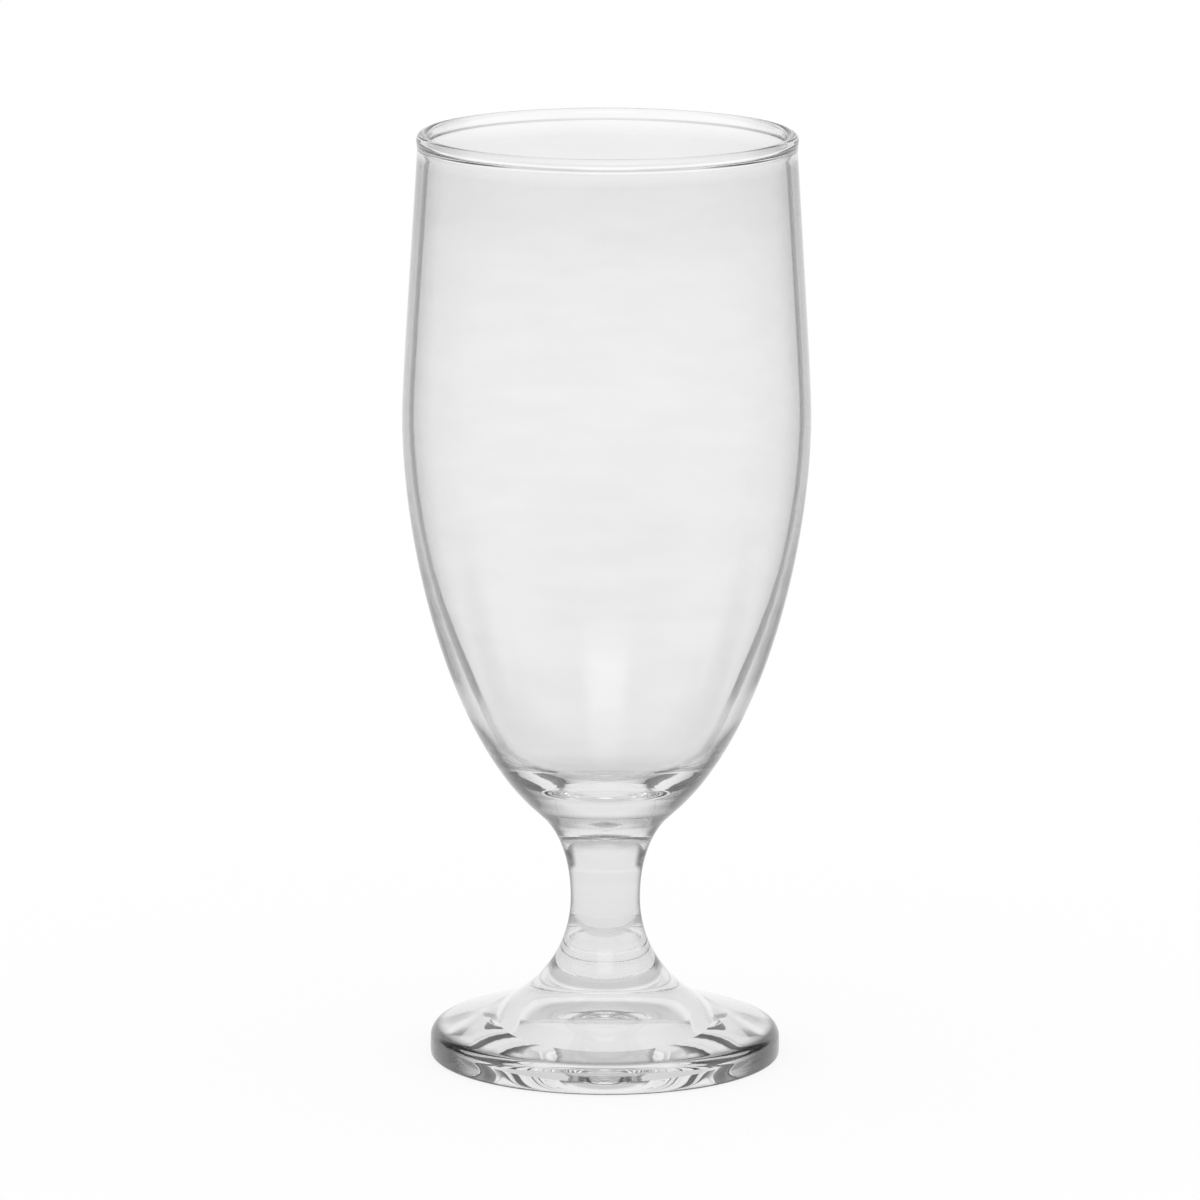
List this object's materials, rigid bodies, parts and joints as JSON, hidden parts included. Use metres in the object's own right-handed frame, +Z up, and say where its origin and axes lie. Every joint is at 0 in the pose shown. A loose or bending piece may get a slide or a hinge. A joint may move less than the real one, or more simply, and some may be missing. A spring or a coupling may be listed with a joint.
{
  "type": "water goblet",
  "caption": "Tall clear glass goblet with a rounded bowl, a beaded rim, a short waisted stem and a round sloping foot, for serving cold drinks.",
  "frame": {"origin": "on the table, under the middle of the foot", "axes": "+Z up along the goblet's axis, from the foot to the rim; X and Y are alike, because it is turned"},
  "size_m": [0.0792, 0.0792, 0.182],
  "materials": {
    "clear_glass": "fire-polished gloss"
  },
  "bodies": {
    "root": {"foot": "clear_glass", "stem": "clear_glass", "bowl": "clear_glass"}
  },
  "joints": []
}
